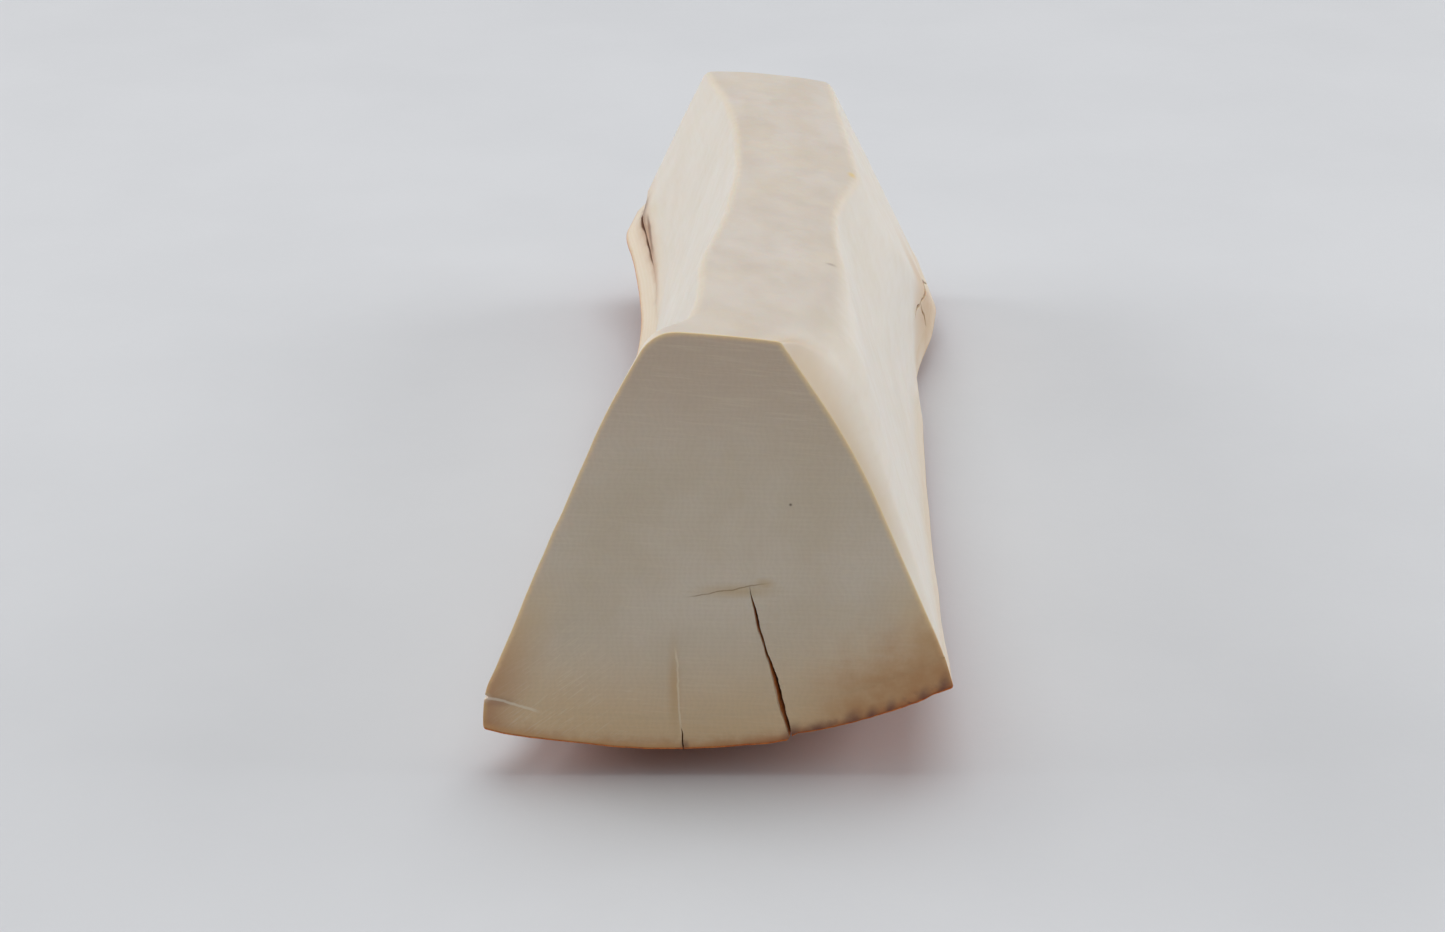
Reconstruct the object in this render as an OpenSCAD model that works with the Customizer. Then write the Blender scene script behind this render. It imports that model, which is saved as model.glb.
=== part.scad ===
// A thick bone folder carved from one radial sector of a tusk.
// Two tissues that grew together make it up: the pale dentine core that was
// carved, and the tan cementum bark left along the rounded underside.
// The section is a wedge: a narrow sloping top, two raked flanks and a curved
// base. The flanks are scooped so the block is waisted behind its front end.
// +X is to the right and +Y away when the larger sawn end faces the viewer,
// +Z is up. The origin is under the middle of the bounding box, on the rest.
// A raked cut is given by its rake from upright and by its distance, square to
// the cut, from the line along the rest under the middle of the front end.
// Distances on the left are negative.

/* [Block] */
// length between the two sawn ends
block_length = 160.8; // [140:0.1:180]
// height of the top at the front sawn end, above the rest
top_height = 55.9; // [45:0.1:60]
// fall of the top towards the far end, in degrees
top_fall = 6.4; // [0:0.1:10]
// roll of the top down towards the right, in degrees
top_roll = 4.5; // [0:0.1:10]
// radius of the slight crown across the top
crown_radius = 90; // [60:1:200]
// turn of the top strip to the right along the block, in degrees
top_yaw = 3.2; // [0:0.1:8]

/* [Tusk] */
// radius of the tusk across its length
tusk_radius = 72; // [60:0.5:90]
// radius of the bend of the tusk along its outer curve
bend_radius = 800; // [600:10:1200]
// angle between the tusk and the carved block, in degrees
tusk_yaw = 10.9; // [0:0.1:15]
// thickness of the bark
bark_thickness = 4.2; // [2:0.1:6]
// left to right position of the lowest point of the tusk
lowest_x = 6.3; // [-10:0.1:15]
// distance of that point from the front sawn end
lowest_y = 74; // [50:0.5:110]

/* [Left flank] */
// rake of the left flank from upright, in degrees
left_rake = 22; // [15:0.5:30]
// radius of the long waist scoop
left_waist_radius = 410; // [200:5:800]
// centre of the long waist scoop from the front end
left_waist_y = 112; // [80:1:130]
// distance of the bottom of that scoop
left_waist_at = -15.4; // [-25:0.1:-10]
// radius of the cove behind the front lip
left_cove_radius = 100; // [40:1:200]
// centre of the cove from the front end
left_cove_y = 26; // [15:0.5:40]
// distance of the bottom of the cove
left_cove_at = -22.6; // [-30:0.1:-18]
// rake of the flat facet at the far end, in degrees
left_facet_rake = 26.6; // [20:0.1:32]
// radius of that nearly flat facet along the block
left_facet_radius = 600; // [300:10:1200]
// centre of the facet from the front end
left_facet_y = 135; // [110:1:160]
// distance of the facet
left_facet_at = -18.9; // [-25:0.1:-15]
// rake of the low scoop over the bark ledge, in degrees
left_low_rake = 16; // [10:0.5:25]
// radius of the low scoop
left_low_radius = 120; // [80:1:200]
// centre of the low scoop from the front end
left_low_y = 124; // [100:1:140]
// distance of the bottom of the low scoop
left_low_at = -12.5; // [-18:0.1:-8]

/* [Right flank] */
// rake of the front part of the right flank, in degrees
right_rake = 16; // [10:0.5:25]
// radius of its shallow hollow along the length
right_hollow_radius = 1400; // [600:10:2000]
// centre of the hollow from the front end
right_hollow_y = 48; // [30:1:70]
// distance of the bottom of the hollow
right_hollow_at = 28.3; // [25:0.1:32]
// rake of the spreading facet ahead of the bulge, in degrees
right_spread_rake = 8; // [4:0.5:15]
// angle at which that facet turns outwards, in degrees
right_spread_yaw = 8; // [3:0.1:12]
// rake of the flat facet at the far end, in degrees
right_facet_rake = 26; // [20:0.1:32]
// angle at which that facet turns inwards, in degrees
right_facet_yaw = 3.8; // [0:0.1:8]
// distance of that facet at the far end
right_facet_at = 31.6; // [28:0.1:36]
// radius of the scoop in the right ridge
right_scoop_radius = 180; // [80:1:250]

/* [Bark ledge] */
// slope of the ledge face from upright, in degrees
ledge_rake = 42; // [30:1:55]
// radius of the waist along the ledge
ledge_radius = 90; // [60:1:160]
// centre of the waist of the ledge from the front end
ledge_y = 118; // [100:1:135]
// distance of the bottom of that waist
ledge_at = -14.2; // [-18:0.1:-10]
// distance of the outermost face of the ledge at the far end
ledge_limit = -20.0; // [-24:0.1:-16]

/* [Drying crack] */
// width of the open crack at the underside of the front end
crack_width = 1.3; // [0.4:0.1:2]
// how far the open crack reaches up the front end
crack_height = 19; // [10:0.5:26]
// angle of the crack from upright, in degrees
crack_lean = 14.5; // [0:0.5:25]
// how far the crack runs along the block
crack_run = 44; // [20:1:80]

/* [Hidden] */
$fn = 180;
// shift from the middle of the front end to the middle of the bounding box
centre_x = 3.22;
centre_y = block_length / 2;
// side of the blocks that stand for half spaces, larger than the part
span = 400;
// length of the cylinders that cut the flanks
reach = 200;
// the tusk is swept over this angle, more than the block needs
sweep = 24;

// saw cut that makes the front lower left corner upright
sawn_side_at = -27.9;
// turn of the outermost face of the ledge, in degrees
ledge_limit_yaw = -4.5;
// left to right position of the crown of the top at the front end
crown_x = -1;
// lip left between the front end and the cove on the left
lip_at = -30.3;
lip_yaw = -40;
// short chamfer at the upper left of the front end
shoulder_rake = 30.5;
shoulder_at = -35.3;
// where the spreading facet on the right leaves the front flank
spread_at = 29.64;
spread_y = 105;
// scoop in the right ridge
ridge_scoop_rake = 20;
ridge_scoop_at = 30;
ridge_scoop_y = 62;
// flat cut behind the right edge of the front end
edge_cut_rake = 22.65;
edge_cut_at = 29.83;
edge_cut_yaw = 21.6;
// small hollow scoop at the upper right of the front end
corner_scoop_rake = 32.9;
corner_scoop_at = 35.2;
corner_scoop_y = -0.3;
corner_scoop_radius = 7;
// the open crack at the underside of the front end
crack_x = 8.2;
crack_z = 5.5;
crack_below = 12;
crack_fall = 24;
// height above which no bark is left
bark_limit = 30;

// everything below is placed from the middle of the front sawn end
module part_frame() {
    translate([-centre_x, -centre_y, 0])
        children();
}

// solid tusk of radius r, bent about a line above it, lowest at the rest
module tusk(r) {
    translate([lowest_x, lowest_y, bend_radius])
        rotate([0, 0, -tusk_yaw])
            rotate([0, 90, 0])
                rotate([0, 0, -sweep / 2])
                    rotate_extrude(angle = sweep)
                        translate([bend_radius - tusk_radius, 0])
                            circle(r = r);
}

// half space on the left of a raked face; at is its distance, yaw turns it
// about the point yaw_y along the block
module left_of(rake, at, yaw = 0, yaw_y = 0) {
    rotate([0, rake, 0])
        translate([at, yaw_y, 0])
            rotate([0, 0, yaw])
                translate([-span, -span / 2, -span / 2])
                    cube(span);
}

// half space on the right of a raked face
module right_of(rake, at, yaw = 0, yaw_y = 0) {
    rotate([0, -rake, 0])
        translate([at, yaw_y, 0])
            rotate([0, 0, yaw])
                translate([0, -span / 2, -span / 2])
                    cube(span);
}

// round scoop into the left flank, its bottom at the distance given
module left_scoop(rake, at, y, r) {
    rotate([0, rake, 0])
        translate([at - r, y, 0])
            cylinder(r = r, h = reach, center = true);
}

// round scoop into the right flank
module right_scoop(rake, at, y, r) {
    rotate([0, -rake, 0])
        translate([at + r, y, 0])
            cylinder(r = r, h = reach, center = true);
}

// slab between the two sawn ends
module sawn_length() {
    translate([-span / 2, 0, -span / 2])
        cube([span, block_length, span]);
}

// space under the sloping, slightly crowned top
module under_top() {
    translate([crown_x, 0, top_height])
        rotate([-top_fall, top_roll, -top_yaw])
            intersection() {
                translate([0, 0, -crown_radius])
                    rotate([90, 0, 0])
                        cylinder(r = crown_radius, h = 2 * span, center = true);
                translate([-span / 2, -span / 2, -span])
                    cube(span);
            }
}

// the long waist scoop on the left
module left_waist_cut() {
    left_scoop(left_rake, left_waist_at, left_waist_y, left_waist_radius);
}

// everything carved away at the front on the left, through both tissues
module front_left_cuts() {
    intersection() {
        left_scoop(left_rake, left_cove_at, left_cove_y, left_cove_radius);
        left_of(left_rake, lip_at, lip_yaw);
    }
    left_of(shoulder_rake, shoulder_at);
    left_of(0, sawn_side_at);
}

// the facet at the far end on the left
module left_facet_cut() {
    left_scoop(left_facet_rake, left_facet_at, left_facet_y, left_facet_radius);
}

// the low scoop that bares the bark ledge
module left_low_cut() {
    left_scoop(left_low_rake, left_low_at, left_low_y, left_low_radius);
}

// everything carved away on the right, through both tissues
module right_cuts() {
    intersection() {
        right_scoop(right_rake, right_hollow_at, right_hollow_y, right_hollow_radius);
        right_of(right_spread_rake, spread_at, -right_spread_yaw, spread_y);
    }
    right_of(right_facet_rake, right_facet_at, right_facet_yaw, block_length);
    right_scoop(ridge_scoop_rake, ridge_scoop_at, ridge_scoop_y, right_scoop_radius);
}

// the two cuts that take off the upper right edge of the front end
module front_right_cuts() {
    right_of(edge_cut_rake, edge_cut_at, -edge_cut_yaw);
    right_scoop(corner_scoop_rake, corner_scoop_at, corner_scoop_y, corner_scoop_radius);
}

// side faces of the bark on the left: flush with the dentine as far as the
// middle of the waist, then spreading into a ledge
module ledge_cuts() {
    intersection() {
        left_waist_cut();
        translate([-span, left_waist_y - span, -span / 2])
            cube(span);
    }
    left_scoop(ledge_rake, ledge_at, ledge_y, ledge_radius);
    left_of(ledge_rake, ledge_limit, ledge_limit_yaw, block_length);
}

// open wedge of the drying crack, deepest at the front end
module open_crack() {
    translate([crack_x, 0, crack_z])
        rotate([0, -crack_lean, 0])
            rotate([crack_fall, 0, 0])
                rotate([90, 0, 0])
                    translate([0, 0, -crack_run])
                        linear_extrude(height = 2 * crack_run)
                            polygon([
                                [-crack_width / 2, -crack_below],
                                [crack_width / 2, -crack_below],
                                [0, crack_height]
                            ]);
}

// space above the bark, where the tusk around the block was sawn away
module bark_top() {
    translate([-span / 2, -span / 2, bark_limit])
        cube(span);
}

// the carved dentine
module dentine_body() {
    color("ivory")
        part_frame()
            difference() {
                intersection() {
                    tusk(tusk_radius - bark_thickness);
                    sawn_length();
                    under_top();
                }
                front_left_cuts();
                left_waist_cut();
                left_facet_cut();
                left_low_cut();
                right_cuts();
                front_right_cuts();
                open_crack();
            }
}

// the bark along the underside
module cementum_bark() {
    color("tan")
        part_frame()
            difference() {
                intersection() {
                    tusk(tusk_radius);
                    sawn_length();
                }
                tusk(tusk_radius - bark_thickness);
                bark_top();
                front_left_cuts();
                ledge_cuts();
                right_cuts();
                open_crack();
            }
}

dentine_body();
cementum_bark();
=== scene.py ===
"""Looks of a thick bone folder carved from one sector of a tusk.

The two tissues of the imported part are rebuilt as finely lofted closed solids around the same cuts,
with softened ridges, tool marks, drying cracks and a chip, and get procedural materials.

The carving frame is in millimetres: X to the right of the middle of the front end, Y away from the
front sawn end, Z above the rest. The row frame, in metres, is the same frame moved to the box.
A raked cut is given by its side (-1 left, +1 right), its rake from upright in degrees and its
distance, square to the cut, from the line along the rest under the middle of the front end.
"""

import math

import bmesh
import bpy
import numpy as np
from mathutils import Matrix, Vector

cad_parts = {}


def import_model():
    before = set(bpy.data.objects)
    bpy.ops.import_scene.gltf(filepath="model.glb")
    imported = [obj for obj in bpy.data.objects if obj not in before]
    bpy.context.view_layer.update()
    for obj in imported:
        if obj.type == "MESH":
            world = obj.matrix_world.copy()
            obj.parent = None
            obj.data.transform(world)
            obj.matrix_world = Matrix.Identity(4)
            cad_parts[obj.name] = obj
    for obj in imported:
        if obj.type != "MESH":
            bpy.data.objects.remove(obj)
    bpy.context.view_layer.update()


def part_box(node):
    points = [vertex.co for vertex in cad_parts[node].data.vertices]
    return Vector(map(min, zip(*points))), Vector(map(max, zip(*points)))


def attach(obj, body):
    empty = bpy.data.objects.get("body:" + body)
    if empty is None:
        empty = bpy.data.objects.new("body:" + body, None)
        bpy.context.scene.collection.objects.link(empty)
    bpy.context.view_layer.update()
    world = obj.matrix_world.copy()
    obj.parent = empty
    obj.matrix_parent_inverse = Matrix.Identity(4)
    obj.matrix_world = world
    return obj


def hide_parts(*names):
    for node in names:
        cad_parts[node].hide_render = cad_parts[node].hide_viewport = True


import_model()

MM = 0.001
LEFT, RIGHT = -1, 1
SIDE_WIDTH = 27.9  # from the middle of the front end to its upright left corner
low_corner, high_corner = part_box("dentine_body")
LENGTH = (high_corner[1] - low_corner[1]) / MM
ORIGIN = np.array([low_corner[0] + SIDE_WIDTH * MM, low_corner[1], 0.0])

# the tusk that the block was sawn from
TUSK_RADIUS = 72.0
BEND_RADIUS = 800.0
TUSK_YAW = math.radians(10.9)
LOWEST = (6.3, 74.0)  # its lowest point
BARK = 4.2  # thickness of the bark

# round cuts: rake, distance, centre along the block, radius
LEFT_WAIST = (22, 15.4, 112, 410)
LEFT_COVE = (22, 22.6, 26, 100)
LEFT_FACET = (26.6, 18.9, 135, 600)
LEFT_LOW = (16, 12.5, 124, 120)
LEDGE_WAIST = (42, 14.2, 118, 90)
RIGHT_HOLLOW = (16, 28.3, 48, 1400)
RIGHT_PINCH = (0, 29.5, 111, 38)
RIGHT_RIDGE = (20, 30, 62, 180)

# flat cuts: rake, distance and, where turned, the turn and the place it is turned about
FRONT_LIP = (22, 30.3, 40)
FRONT_SHOULDER = (30.5, 35.3)
FRONT_SIDE = (0, SIDE_WIDTH)
LEDGE_LIMIT = (42, 20.0, 4.5, 160.8)
RIGHT_SPREAD = (8, 29.64, -8, 105)
RIGHT_FACET = (26, 31.6, 3.8, 160.8)
FRONT_EDGE = (22.65, 29.83, -24)
FRONT_CORNER = (32.9, 35.2, -30)

# the top: its height and place at the front end, its angles and the radius of its crown
TOP_HEIGHT = 55.9
CROWN_X = -1.0
TOP_FALL, TOP_ROLL, TOP_YAW = (math.radians(a) for a in (-6.4, 4.5, -3.2))
CROWN_RADIUS = 90.0

END_SOFT = 0.2  # wear of the edges round the sawn ends
SKIN = 1e-5  # a point counts as inside up to this distance outside

CRACK_RUN = 44.0  # how far the open crack runs along the block
CRACK_TIP = 24.9  # height of its tip on the front end
CRACK_FALL = 19.0  # how far the tip falls over that run


# ---------------------------------------------------------------- shape functions
# Each returns a distance in millimetres, negative inside the material.


def either(a, b, soft):
    """Union of two cuts, the ridge between them rounded over the width soft."""
    h = np.maximum(soft - np.abs(a - b), 0.0) / soft
    return np.maximum(a, b) + h * h * soft / 4


def both(a, b, soft):
    """Overlap of two cuts, the valley between them filled over the width soft."""
    return -either(-a, -b, soft)


def outward(p, side, rake):
    """Distance from the line along the rest, square to a raked cut."""
    a = math.radians(rake)
    return side * p[0] * math.cos(a) + p[2] * math.sin(a)


def flat(p, side, rake, at, turn=0.0, turn_y=0.0):
    """Flat raked cut, turned about the point turn_y along the block."""
    t = math.radians(turn)
    return (outward(p, side, rake) - at) * math.cos(t) + (p[1] - turn_y) * math.sin(t)


def scoop(p, side, rake, at, y, radius):
    """Round raked scoop whose bottom is at the distance given."""
    return radius - np.hypot(outward(p, side, rake) - at - radius, p[1] - y)


def ramp(value, low, high):
    """Smooth step from 0 at low to 1 at high."""
    t = np.clip((value - low) / (high - low), 0, 1)
    return t * t * (3 - 2 * t)


def waves(p, length, seed, stretch=1.0):
    """Smooth seeded undulation between about -1 and 1; stretch lengthens it along Y."""
    rng = np.random.default_rng(seed)
    total = 0.0
    count = 9
    for _ in range(count):
        d = rng.normal(size=3)
        d /= np.linalg.norm(d)
        k = 2 * math.pi / (length * rng.uniform(0.7, 1.5))
        phase = rng.uniform(0, 2 * math.pi)
        total = total + np.sin(k * (d[0] * p[0] + d[1] * p[1] / stretch + d[2] * p[2]) + phase)
    return total * (1.6 / count)


def front_left(p):
    """The cove behind the front lip, the chamfer above it and the upright corner."""
    cove = both(scoop(p, LEFT, *LEFT_COVE), flat(p, LEFT, *FRONT_LIP), 1.2)
    corner = either(cove, flat(p, LEFT, *FRONT_SHOULDER), 0.6)
    return either(corner, flat(p, LEFT, *FRONT_SIDE), 0.5)


def waist(p):
    """The long scoop that waists the block on the left."""
    return scoop(p, LEFT, *LEFT_WAIST)


def ledge(p):
    """Side of the bark on the left: flush with the waist, then spreading into a ledge."""
    flush = both(waist(p), LEFT_WAIST[2] - p[1], 3.0)
    side = either(scoop(p, LEFT, *LEDGE_WAIST), flat(p, LEFT, *LEDGE_LIMIT), 0.9)
    return either(flush, side, 0.9)


def left_marks(p):
    """Scraper waves on the left."""
    return 0.10 * waves(p, 16, 11, 1.6) + 0.035 * waves(p, 5, 12, 2.5)


def left_cuts(p):
    """Everything carved off the dentine on the left."""
    crisp = ramp(p[1], 138, 156)
    facets = either(waist(p), scoop(p, LEFT, *LEFT_FACET), 4.0 - 2.5 * crisp)
    facets = either(facets, scoop(p, LEFT, *LEFT_LOW), 2.5 - 1.9 * crisp)
    # the foot of the flank spreads to meet the face of the bark ledge
    foot = ramp(p[1], 106, 126)
    facets = both(facets, ledge(p) + 9 * (1 - foot), 0.05 + 1.6 * foot)
    return either(facets, front_left(p), 2.2) + left_marks(p)


def ledge_cuts(p):
    """Everything carved off the bark on the left."""
    return either(ledge(p), front_left(p), 2.2) + left_marks(p)


def right_cuts(p):
    """Everything carved off both tissues on the right, behind the front end."""
    hollow = both(scoop(p, RIGHT, *RIGHT_HOLLOW), flat(p, RIGHT, *RIGHT_SPREAD), 1.6)
    hollow = either(hollow, scoop(p, RIGHT, *RIGHT_PINCH), 2.2)
    facets = either(hollow, flat(p, RIGHT, *RIGHT_FACET), 0.5)
    marks = 0.10 * waves(p, 15, 21, 1.6) + 0.035 * waves(p, 5, 22, 2.5)
    return either(facets, scoop(p, RIGHT, *RIGHT_RIDGE), 1.4) + marks


def front_right(p):
    """The two cuts that take off the upper right edge of the front end."""
    return either(flat(p, RIGHT, *FRONT_EDGE), flat(p, RIGHT, *FRONT_CORNER), 1.2)


def front_right_soft(p):
    """Rounding between those cuts and the other faces, sharp at the sawn end."""
    return 0.3 + 2.5 * ramp(p[1], 0.5, 8)


def turned_pair(a, b, angle):
    """Two coordinates in a frame turned by an angle."""
    return a * math.cos(angle) + b * math.sin(angle), b * math.cos(angle) - a * math.sin(angle)


def top_cut(p):
    """The sloping top with its slight crown."""
    x, y, z = p[0] - CROWN_X, p[1], p[2] - TOP_HEIGHT
    x, y = turned_pair(x, y, TOP_YAW)
    x, z = turned_pair(x, z, -TOP_ROLL)
    z = z * math.cos(TOP_FALL) - y * math.sin(TOP_FALL)
    marks = 0.07 * waves(p, 17, 31, 1.4) + 0.02 * waves(p, 5, 32, 2.0)
    return np.hypot(x, z + CROWN_RADIUS) - CROWN_RADIUS + marks


def tusk_depth(p):
    """Depth below the natural outer curve of the tusk."""
    x, y = p[0] - LOWEST[0], p[1] - LOWEST[1]
    along, across = turned_pair(y, x, TUSK_YAW)
    spine = np.hypot(along, BEND_RADIUS - p[2]) - (BEND_RADIUS - TUSK_RADIUS)
    return TUSK_RADIUS - np.hypot(spine, across)


def ends(p):
    """What lies beyond the two sawn ends."""
    return np.maximum(-p[1], p[1] - LENGTH)


def carved(p):
    """The dentine's carved faces, without the sawn ends."""
    left_ridge = 0.9 + 1.7 * np.exp(-p[1] / 7)
    right_ridge = 6.5 - 5.5 * ramp(p[1], 8, 50)
    faces = either(either(left_cuts(p), top_cut(p), left_ridge), right_cuts(p), right_ridge)
    return either(faces, front_right(p), front_right_soft(p))


def dentine(p):
    """The whole dentine: carved faces, sawn ends and the face under the bark."""
    return np.maximum(either(carved(p), ends(p), END_SOFT), BARK - tusk_depth(p))


# ---------------------------------------------------------------- meshes

HEART_Z = 22.0  # the lofted outline is star-shaped about a heart line at this height
HEART_START = 6.0  # a place on that height that is inside the block all along
HEART_BLUR = 12  # stations on either side that the heart line is averaged over
REACH = 75.0  # further than any face from the heart line
STEPS = 24  # halvings when a face is looked for
END_RINGS = 15  # rings of points that fill a sawn end of the dentine


def to_row(points):
    """Places in the carving frame as places in the row frame, in metres."""
    return points * MM + ORIGIN


def add_object(name, data):
    """A new object with this data, in the scene."""
    thing = bpy.data.objects.new(name, data)
    bpy.context.scene.collection.objects.link(thing)
    return thing


def make_mesh(name, points, faces):
    """A piece with these points, given in the carving frame, and faces."""
    mesh = bpy.data.meshes.new(name)
    mesh.from_pydata(to_row(np.asarray(points, float)).tolist(), [], faces)
    mesh.validate()
    mesh.shade_smooth()
    return add_object(name, mesh)


def stations(finest, growth, coarsest):
    """Places along the block, close together near both sawn ends."""
    half = [0.0]
    while half[-1] < LENGTH / 2:
        half.append(half[-1] + min(finest + growth * half[-1], coarsest))
    half = np.array(half) * (LENGTH / 2 / half[-1])
    return np.concatenate([half, LENGTH - half[-2::-1]])


def clustered(count, bias):
    """Parameters from 0 to 1 that crowd towards both ends."""
    t = np.linspace(0, 1, count)
    return t - bias * np.sin(2 * math.pi * t) / (2 * math.pi)


def bisect(test, low, high, steps):
    """The last place, going from low to high, where test still holds."""
    for _ in range(steps):
        middle = (low + high) / 2
        holds = test(middle)
        low, high = np.where(holds, middle, low), np.where(holds, high, middle)
    return (low + high) / 2


def side_by_side(first, second, wrap):
    """Quads between two rows of vertex numbers."""
    a, b = np.asarray(first), np.asarray(second)
    if wrap:
        a, b = np.append(a, a[0]), np.append(b, b[0])
    return np.stack([a[:-1], a[1:], b[1:], b[:-1]], axis=1).tolist()


def dentine_outlines():
    """The heart line and the outlines round it, one for each station along the block."""
    y = stations(finest=0.04, growth=0.10, coarsest=0.76)
    row = y[:, None]

    def across(x):
        return dentine((x, y, np.full_like(x, HEART_Z))) < SKIN

    start = np.full_like(y, HEART_START)
    walls = [bisect(across, start, start + side * REACH, STEPS) for side in (RIGHT, LEFT)]
    padded = np.pad((walls[0] + walls[1]) / 2, HEART_BLUR, mode="edge")
    window = 2 * HEART_BLUR + 1
    heart = np.convolve(padded, np.ones(window) / window, mode="valid")

    def at(angle, radius):
        x = heart[:, None] + radius * np.cos(angle)
        return x, row + 0 * x, HEART_Z + radius * np.sin(angle)

    def cast(angle):
        """Radius of the outline at an angle."""
        zero = np.zeros_like(angle)
        return bisect(lambda r: dentine(at(angle, r)) < SKIN, zero, zero + REACH, STEPS)

    def corner(start_angle, end_angle, first, second):
        """Angle at which the outline passes from the first face to the second."""
        a, b = (np.full((len(y), 1), math.radians(v)) for v in (start_angle, end_angle))

        def before(angle):
            p = at(angle, cast(angle))
            return first(p) > second(p)

        return bisect(before, a, b, STEPS)

    def inner(p):
        return BARK - tusk_depth(p)

    def right_side(p):
        return either(right_cuts(p), front_right(p), 0.8)

    top_right = corner(90, 0, top_cut, right_side)
    top_left = corner(90, 180, top_cut, left_cuts)
    low_left = corner(180, 268, left_cuts, inner)
    low_right = corner(0, -88, right_side, inner) + 2 * math.pi
    turns = [  # from, to and number of points
        (top_right, top_left, 44),
        (top_left, low_left, 108),
        (low_left, low_right, 46),
        (low_right, top_right + 2 * math.pi, 108),
    ]
    angles = []
    for begin, end, count in turns:
        # points spread by the length of the outline and crowded towards its corners
        fine = begin + (end - begin) * np.linspace(0, 1, 260)
        x, _, z = at(fine, cast(fine))
        steps = np.hypot(np.diff(x, axis=1), np.diff(z, axis=1))
        run = np.concatenate([np.zeros((len(y), 1)), np.cumsum(steps, axis=1)], axis=1)
        wanted = clustered(count, bias=0.72)[:-1]
        rows = [np.interp(wanted * run[i, -1], run[i], fine[i]) for i in range(len(y))]
        angles.append(np.array(rows))
    angle = np.concatenate(angles, axis=1)
    middles = np.stack([heart, y, np.full_like(y, HEART_Z)], axis=1)
    return middles, np.stack(at(angle, cast(angle)), axis=2)


def dentine_mesh():
    """The outlines joined along the block, each end filled with rings about its middle."""
    middles, loops = dentine_outlines()
    count = loops.shape[1]
    number = np.arange(len(loops) * count).reshape(len(loops), count)
    points, faces = [loops.reshape(-1, 3)], []
    for i in range(len(loops) - 1):
        faces += side_by_side(number[i + 1], number[i], True)
    total = number.size
    for i, flip in ((0, True), (len(loops) - 1, False)):
        outer = number[i]
        for j in range(1, END_RINGS):
            share = 1 - (j / END_RINGS) ** 1.5
            points.append(middles[i] + share * (loops[i] - middles[i]))
            inner_ring = np.arange(total, total + count)
            total += count
            pair = (outer, inner_ring) if flip else (inner_ring, outer)
            faces += side_by_side(pair[0], pair[1], True)
            outer = inner_ring
        points.append(middles[i][None, :])
        closing = np.stack([outer, np.roll(outer, -1), np.full(count, total)], axis=1)
        faces += (closing if flip else closing[:, ::-1]).tolist()
        total += 1
    return make_mesh("carved_dentine", np.concatenate(points), faces)


def crack_middle(z):
    """Left to right place of the open crack at a height on the front end."""
    heights = [-4, 4, 9, 13, 15.2, 16.2, 19, CRACK_TIP]
    places = [10.1, 8.35, 7.15, 6.15, 5.55, 5.15, 4.35, 3.2]
    return np.interp(z, heights, places)


def crack_tip(y):
    """Height of the tip of the open crack at a place along the block."""
    return CRACK_TIP - CRACK_FALL * (np.clip(y, 0, None) / CRACK_RUN) ** 1.1


def crack_half_width(y, z):
    """Half the width of the open crack at a place along the block and a height."""
    below = np.clip(crack_tip(y) - z, 0, None)
    downs = [0, 2, 4, 6, 8, 9.5, 12, 15, 17.5, 19.5, 30]
    widths = [0, 0.12, 0.20, 0.21, 0.14, 0.22, 0.36, 0.40, 0.31, 0.21, 0.18]
    return np.interp(below, downs, widths) * np.clip(1 - y / CRACK_RUN, 0, 1) ** 0.5


def outer_depth(p):
    """Depth at which the natural outer face of the bark lies: rough, with a step at the crack."""
    beside = p[0] - crack_middle(p[2])
    fade = np.exp(-np.abs(beside) / 9) * np.clip(1 - p[1] / CRACK_RUN, 0, 1)
    step = np.where(beside > 0, 0.40, -0.30) * fade * np.clip(np.abs(beside) / 0.3, 0, 1)
    furrows = 0.10 * waves(p, 3.2, 41, 6.0) + 0.07 * waves(p, 1.8, 42, 3.0)
    furrows = furrows * np.maximum(0.4 + 0.6 * ramp(p[0], 0, 12), ramp(p[1], 4, 20))
    corner = np.exp(-(((p[0] + 28) / 7) ** 2)) * np.clip(1 - p[1] / 30, 0, 1)
    return step + furrows + 0.14 - 0.4 * corner + 0.10 * waves(p, 14, 43, 1.5)


def delaminated(p, y):
    """Opening of the drying crack between bark and dentine at the far left."""
    rear = np.exp(-(((y - 155) / 6.0) ** 2)) + 0.6 * np.exp(-(((y - 143) / 6.0) ** 2))
    rear = rear + 0.45 * np.exp(-(((y - 129) / 4.5) ** 2))
    return 1.15 * rear * (1 + 0.5 * waves(p, 3.0, 51))


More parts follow.
